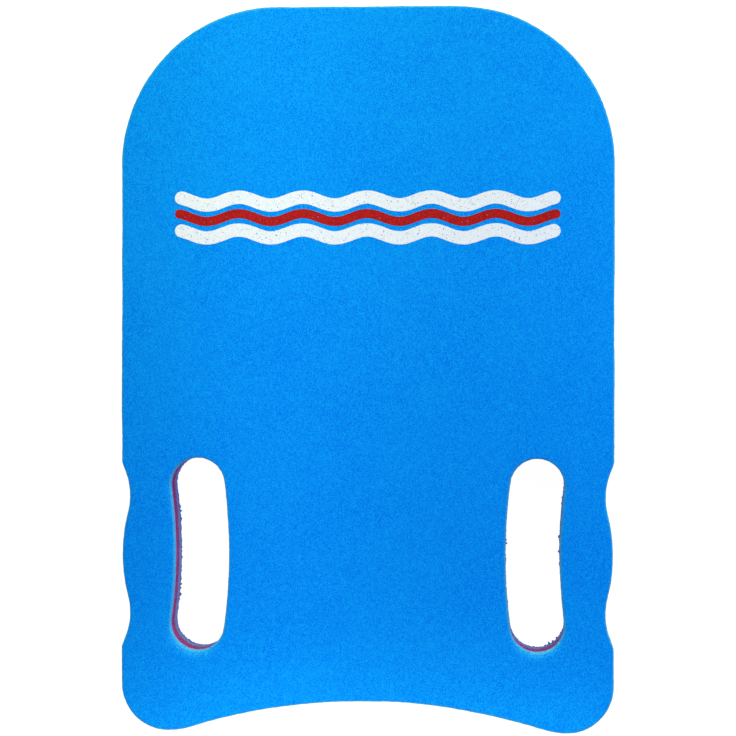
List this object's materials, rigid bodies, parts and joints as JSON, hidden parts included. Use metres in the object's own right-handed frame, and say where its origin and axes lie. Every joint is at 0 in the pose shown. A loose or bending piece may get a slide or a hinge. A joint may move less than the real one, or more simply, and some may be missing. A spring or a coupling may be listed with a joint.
{
  "type": "kickboard float",
  "caption": "Flat swimming kickboard of laminated foam with a rounded nose, hollowed tail, curved hand slots, finger waves on the grips and a printed wave motif.",
  "frame": {"origin": "middle of the back face, halfway across the board and halfway between the nose and the tail lobes", "axes": "+X across the board, +Y along it to the rounded nose, +Z out of the printed front face"},
  "size_m": [0.3, 0.4416, 0.0381],
  "materials": {
    "foam_blue": "closed-cell foam, fine matte grain",
    "foam_crimson": "closed-cell foam, cut surface",
    "bond": "thin pale heat-bond line",
    "ink_white": "matte screen ink with pinholes",
    "ink_red": "matte screen ink with pinholes"
  },
  "bodies": {
    "root": {"back_sheet": "foam_blue", "back_bond": "bond", "core_sheet": "foam_crimson", "front_bond": "bond", "front_sheet": "foam_blue", "print_white": "ink_white", "print_red": "ink_red"}
  },
  "joints": []
}
